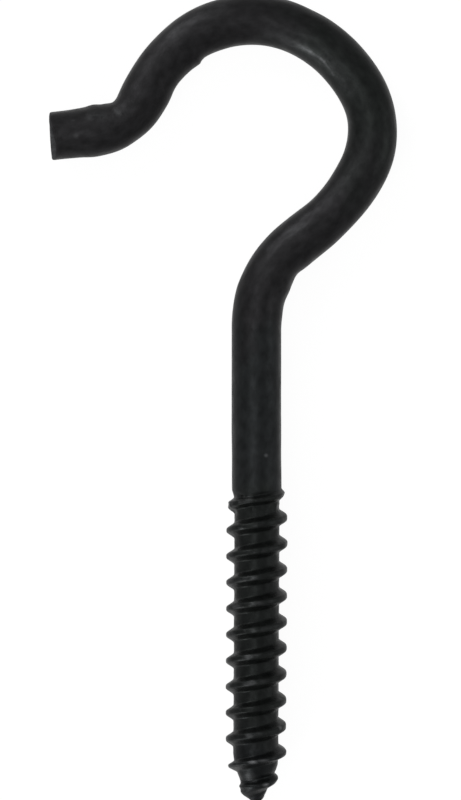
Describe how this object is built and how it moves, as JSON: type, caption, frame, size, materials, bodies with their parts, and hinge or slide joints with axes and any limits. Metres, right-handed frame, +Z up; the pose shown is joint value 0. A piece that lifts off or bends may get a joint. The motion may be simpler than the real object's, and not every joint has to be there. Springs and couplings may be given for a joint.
{
  "type": "screw hook",
  "caption": "Round steel rod bent into an open hook with an outturned tail, on a plain shank with a gimlet-pointed wood thread.",
  "frame": {"origin": "on the screw's axis, at the shoulder where the thread meets the plain shank", "axes": "the part lies flat with its bends in the XY plane, +Z up; -Y runs down the screw's axis to the tip, +Y to the hook, and the hook's mouth opens towards -X"},
  "size_m": [0.0348, 0.0811, 0.006],
  "materials": {
    "black_steel": "satin black oxide or powder coat on steel rod, slightly mottled"
  },
  "bodies": {
    "root": {"screw_hook": "black_steel"}
  },
  "joints": []
}
